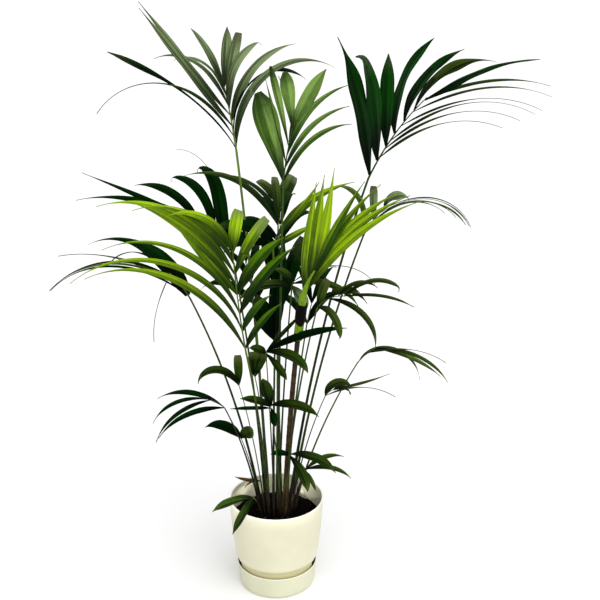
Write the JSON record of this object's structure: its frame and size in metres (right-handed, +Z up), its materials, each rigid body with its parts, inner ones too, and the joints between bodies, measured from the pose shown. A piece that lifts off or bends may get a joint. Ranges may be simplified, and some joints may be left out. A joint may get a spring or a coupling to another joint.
{
  "type": "potted kentia palm",
  "caption": "Potted kentia palm: slender green leaf stalks fan out of one round cream pot on its saucer and carry arching feather fronds of long narrow leaflets",
  "frame": {"origin": "centre of the saucer's flat underside, on the surface the plant stands on", "axes": "+Z up; -Y is the front, the side the broadest bright fronds lean to; +X is to the right seen from the front"},
  "size_m": [1.322, 0.8332, 1.482],
  "materials": {
    "cream": "satin cream plastic",
    "soil": "lumpy dark potting soil",
    "cane": "dry ringed brown cane",
    "stalk": "smooth green leaf stalk",
    "leaf": "satin dark green leaf",
    "bright_leaf": "satin yellow-green leaf"
  },
  "bodies": {
    "root": {"pot": "cream", "saucer": "cream", "soil": "soil", "cane": "cane", "bright_mid_sheath": "stalk", "bright_mid_blade": "bright_leaf", "top_left_stalk": "stalk", "top_left_blade": "leaf", "top_mid_stalk": "stalk", "top_mid_blade": "leaf", "top_right_stalk": "stalk", "top_right_blade": "leaf", "left_dark_stalk": "stalk", "left_dark_blade": "leaf", "mid_back_stalk": "stalk", "mid_back_blade": "leaf", "bright_left_stalk": "stalk", "bright_left_blade": "bright_leaf", "right_grey_stalk": "stalk", "right_grey_blade": "leaf", "left_low_stalk": "stalk", "left_low_blade": "leaf", "right_low_stalk": "stalk", "right_low_blade": "leaf", "right_small_stalk": "stalk", "right_small_blade": "leaf", "right_olive_stalk": "stalk", "right_olive_blade": "leaf", "centre_dark_stalk": "stalk", "centre_dark_blade": "leaf", "low_left_stalk": "stalk", "low_left_blade": "leaf", "back_left_stalk": "stalk", "back_left_blade": "leaf", "back_right_stalk": "stalk", "back_right_blade": "leaf", "back_mid_stalk": "stalk", "back_mid_blade": "leaf", "young_mid": "bright_leaf", "mid_hub": "leaf", "low_left_pair": "leaf", "young_a": "leaf", "young_b": "leaf", "young_c": "leaf", "young_d": "leaf", "pot_left": "leaf", "pot_right": "leaf", "pot_right_b": "leaf", "pot_small": "leaf"}
  },
  "joints": []
}
